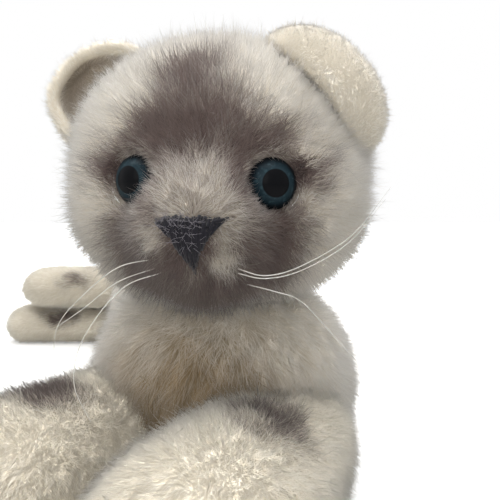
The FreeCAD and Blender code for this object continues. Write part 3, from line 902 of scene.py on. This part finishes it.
def makeTail():
    # The line runs from the root straight back, then round the hips as an arc that ends at the tip.
    cx, cy, cz = tailShape["centre"]
    arc = np.radians(np.linspace(90, 90 - tailShape["sweep"], 24))
    curl = tailShape["curl"]
    line = [(cx + curl * math.cos(a), cy + curl * math.sin(a), cz) for a in arc]
    line[0] = (cx + 1.0, cy + curl - 3.5, cz)
    line.insert(0, (cx - 1, tailShape["rootY"], cz))
    lumps = [(point, (tailShape["rootRadius"] - tailShape["thinner"] * i / len(line),) * 3)
             for i, point in enumerate(line)]

    def field(points):
        return lumpField(points, lumps, tailShape["softness"], 0.4)

    grid = wrapAround(field, line, columns=56, capRows=14, bodyRows=110, reach=14)
    normals = fieldNormals(field, grid)

    def mask(points):
        reach = np.degrees(np.arctan2(points[..., 1] - cy, points[..., 0] - cx))
        wave = ripple(points, 10.0, 12)[..., 0] * 6
        share = np.clip((tailShape["darkFrom"] + wave - reach) / tailShape["darkFade"], 0, 1)
        return share * 0.95 * (points[..., 0] > cx)

    addSkin("tail_skin", "tail", grid, mask, ["tail_upper_panel", "tail_under_panel"],
            material=legPlush)

    def density(points):
        share = np.where(points[..., 2] < tailShape["floor"], floorShare, 1.0)
        return np.where(bodyField(points) < -furDepth["limb"], 0.0, share)

    def flow(points, up):
        out = points - np.array([cx, cy, cz])
        out[:, 2] = 0
        return np.cross(unit(out), [0, 0, 1.0]) + np.array([0, 0, -0.3])

    makeFur("tail_fur", "tail", grid, normals, tailCoat, density, flow, mask, legPlush)


makeBody()
for leg in frontLegs:
    makeLeg(leg, frontCoat)
for leg in hindLegs:
    makeLeg(leg, hindCoat)
makeTail()

plainFinishes = {
    # lower and upper colour of the grain, its scale, roughness low and high, bump height in metres
    "polyester_fibrefill": ("#D9D8D2", "#FAFAF6", 260.0, 0.85, 1.0, 0.0012),
    "cotton_lawn": ("#CFC6B2", "#EDE6D6", 900.0, 0.8, 0.95, 0.0002),
    "polyethylene_pellets": ("#D8D8D4", "#F2F2EE", 420.0, 0.35, 0.55, 0.0015),
    "sewing_thread": ("#C9BC9F", "#EFE5CE", 1500.0, 0.6, 0.8, 0.0001),
    "joint_disc_polypropylene": ("#DEDCD4", "#EFEDE6", 300.0, 0.3, 0.5, 0.00003),
    "eye_socket_abs": ("#08080B", "#131318", 500.0, 0.12, 0.3, 0.00001),
    "washer_nylon": ("#C9C7BE", "#E2E0D8", 350.0, 0.35, 0.55, 0.00003),
}
grains = {
    "cotton_lawn": ("ShaderNodeTexWave", {"Distortion": 1.5, "Detail": 1.0}),
    "polyethylene_pellets": ("ShaderNodeTexVoronoi", {}),
}
finishFor = {
    "stuffing": "polyester_fibrefill", "pellet_pouch": "cotton_lawn", "pellet_fill": "polyethylene_pellets",
    "closing_stitches": "sewing_thread", "neck_disc": "joint_disc_polypropylene",
    "neck_body": "joint_disc_polypropylene", "neck_lock": "washer_nylon",
    "eye_washer": "eye_socket_abs", "eye_cup": "eye_socket_abs",
}


def grainMaterial(name, low, high, scale, smooth, rough, height):
    # The material that its name says, with its grain as two noises: one for colour, one for gloss and bump.
    material = newMaterial(name)
    broad = objectNoise(material, scale * 0.35, 5.0)
    kind, settings = grains.get(name, ("ShaderNodeTexNoise", {"Detail": 6.0, "Roughness": 0.7}))
    grain = objectTexture(material, kind, dict(settings, Scale=scale)).outputs[0]
    mixed = addNode(material, "ShaderNodeMath", {"operation": "MULTIPLY_ADD", 1: 0.5, "use_clamp": True},
                    {0: grain, 2: broad.outputs["Fac"]})
    colour = mixColours(material, mixed.outputs[0], low, high)
    gloss = mapRange(material, grain, 0, 1, smooth, rough)
    bump = addNode(material, "ShaderNodeBump", {"Strength": 0.7, "Distance": height}, {"Height": grain})
    shader = addNode(material, "ShaderNodeBsdfPrincipled", {"Specular IOR Level": 0.3},
                     {"Base Color": colour, "Roughness": gloss, "Normal": bump.outputs[0]})
    return finishMaterial(material, shader)


eyeShape = {
    # radius, rise and standoff in millimetres; where pupil ends, rim starts and their blurs as shares of it
    "radius": 6.0, "rise": 3.2, "base": 1.0,
    "pupil": 0.54, "pupilBlur": 0.02, "rim": 0.84, "rimBlur": 0.07,
    "domeRows": 30, "backRows": 8, "columns": 72,
}
eyeColours = {
    "inner": "#22333A", "outer": "#17242B", "rim": "#0B1015", "pupil": "#050609", "speck": "#3D545B",
}


def eyeMaterial():
    # Clear acrylic dome lacquered from behind: a pupil, a flecked slate teal iris and a near black rim.
    material = newMaterial("lacquered_acrylic_dome")
    reach = readAttribute(material, "reach")
    fleck = objectNoise(material, 900.0, 3.0)
    across = mapRange(material, reach, eyeShape["pupil"], eyeShape["rim"])
    base = mixColours(material, across, eyeColours["inner"], eyeColours["outer"])
    some = mapRange(material, fleck.outputs["Fac"], 0.5, 0.75, toHigh=0.45)
    colour = mixColours(material, some, base, eyeColours["speck"])
    for part, blur in (("rim", eyeShape["rimBlur"]), ("pupil", -eyeShape["pupilBlur"])):
        step = mapRange(material, reach, eyeShape[part] - blur, eyeShape[part] + blur)
        colour = mixColours(material, step, colour, eyeColours[part])
    rough = mapRange(material, fleck.outputs["Fac"], 0, 1, 0.3, 0.5)
    shader = addNode(material, "ShaderNodeBsdfPrincipled",
                     {"Specular IOR Level": 0.05, "Coat Weight": 0.3, "Coat Roughness": 0.04,
                      "Coat IOR": 1.2},
                     {"Base Color": colour, "Roughness": rough})
    return finishMaterial(material, shader)


def makeEyes():
    # A cap of the ball with radius (r r + h h) / 2h, for the eye's radius r and rise h, with a flat back.
    radius, rise = eyeShape["radius"], eyeShape["rise"]
    ball = (radius ** 2 + rise ** 2) / (2 * rise)
    lacquer = eyeMaterial()
    front = np.sin(np.linspace(0, math.pi / 2, eyeShape["domeRows"]))
    across = np.concatenate([front, np.linspace(1, 0, eyeShape["backRows"])[1:]]) * radius
    height = np.sqrt(ball ** 2 - across ** 2) - ball + rise
    height[len(front):] = 0.0
    turn = fullTurn(eyeShape["columns"])
    for side, (seat, out) in zip(("left", "right"), eyeAxes()):
        one = unit(np.cross(out, [0, 0, 1.0]))
        two = np.cross(one, out)
        spin = one * np.cos(turn)[:, None] + two * np.sin(turn)[:, None]
        grid = seat + out * (eyeShape["base"] + height)[:, None, None] + spin[None] * across[:, None, None]
        if np.dot(np.cross(grid[5, 0] - grid[4, 0], grid[4, 1] - grid[4, 0]), out) < 0:
            grid = grid[:, ::-1]
        mesh, points = closedMesh(f"eye_dome_{side}", turnHead(grid))
        away = turnHead(points, back=True) - seat
        far = np.linalg.norm(away - (away @ out)[:, None] * out, axis=-1)
        setAttribute(mesh, "reach", far / radius)
        piece = addPiece(mesh, "head", lacquer)
        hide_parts(f"eye_lens_{side}", f"eye_iris_{side}", f"eye_pupil_{side}")


def dressNodes():
    made = {name: grainMaterial(name, *values) for name, values in plainFinishes.items()}
    for name, node in nodes.items():
        node.data.materials.clear()
        found = [finish for key, finish in finishFor.items() if key in name]
        node.data.materials.append(made[found[0]] if found else longPlush)


makeEyes()
dressNodes()

view = {"place": (8.6, -224.0, 82.3), "pitch": 4.07, "lens": 37.44}
camera = addObject("camera", bpy.data.cameras.new("camera"))
camera.location = [v * mm for v in view["place"]]
camera.rotation_euler = (math.radians(90 - view["pitch"]), 0, 0)
camera.data.lens = view["lens"]
camera.data.sensor_width = 36
camera.data.clip_start = 0.005
bpy.context.scene.camera = camera

studio = {
    "worldLevel": 0.48, "worldColour": "#F4F6FA", "floorColour": "#F2F2F0",
    "floorFade": (0.22, 0.42),     # metres from the cat's middle between which the card turns to pure white
    # place, aim, size in metres and power in watts of each soft lamp
    "lamps": {
        "overhead_softbox": ((-0.1, 0.02, 1.0), (0, -0.02, 0.05), 1.1, 12.4),
        "front_softbox": ((-0.3, -1.1, 0.5), (0, -0.05, 0.05), 0.8, 2.8),
        "back_softbox": ((0.3, 0.8, 0.8), (0, 0, 0.07), 0.8, 7.0),
    },
}


def makeStage():
    world = bpy.data.worlds.new("studio")
    bpy.context.scene.world = world
    world.use_nodes = True
    world.node_tree.nodes.clear()
    path = addNode(world, "ShaderNodeLightPath")
    seen = addNode(world, "ShaderNodeMath", {"operation": "ADD"},
                   {0: path.outputs["Is Camera Ray"], 1: path.outputs["Is Glossy Ray"]})
    seen = addNode(world, "ShaderNodeMath", {"operation": "ADD", "use_clamp": True},
                   {0: seen.outputs[0], 1: path.outputs["Is Transmission Ray"]})
    soft = addNode(world, "ShaderNodeBackground", {"Color": hexColour(studio["worldColour"]),
                                                   "Strength": studio["worldLevel"]})
    white = addNode(world, "ShaderNodeBackground", {"Color": (1, 1, 1, 1), "Strength": 1.0})
    both = addNode(world, "ShaderNodeMixShader",
                   links={0: seen.outputs[0], 1: soft.outputs[0], 2: white.outputs[0]})
    addNode(world, "ShaderNodeOutputWorld", links={"Surface": both.outputs[0]})
    floorMesh = bpy.data.meshes.new("floor")
    floorMesh.from_pydata([(-4, -4, 0), (4, -4, 0), (4, 4, 0), (-4, 4, 0)], [], [(0, 1, 2, 3)])
    floor = addObject("floor", floorMesh)
    card = newMaterial("white_card")
    rays = addNode(card, "ShaderNodeLightPath")
    place = addNode(card, "ShaderNodeTexCoord")
    away = addNode(card, "ShaderNodeVectorMath", {"operation": "LENGTH"}, {0: place.outputs["Object"]})
    greyEnds, whiteStarts = studio["floorFade"]
    far = mapRange(card, away.outputs["Value"], greyEnds, whiteStarts, 0.3, 1.0, "SMOOTHSTEP")
    lift = addNode(card, "ShaderNodeMath", {"operation": "MULTIPLY"},
                   {0: far, 1: rays.outputs["Is Camera Ray"]})
    paper = addNode(card, "ShaderNodeBsdfPrincipled",
                    {"Base Color": hexColour(studio["floorColour"]), "Roughness": 0.9,
                     "Emission Color": (1, 1, 1, 1)}, {"Emission Strength": lift.outputs[0]})
    finishMaterial(card, paper)
    floorMesh.materials.append(card)
    for name, (place, aim, size, power) in studio["lamps"].items():
        lamp = addObject(name, bpy.data.lights.new(name, "AREA"))
        lamp.location = place
        toward = np.array(aim) - np.array(place)
        lamp.rotation_euler = (math.acos(-toward[2] / np.linalg.norm(toward)), 0,
                               math.atan2(toward[1], toward[0]) - math.pi / 2)
        lamp.data.size = size
        lamp.data.energy = power


makeStage()
bpy.context.scene.view_settings.view_transform = "Standard"
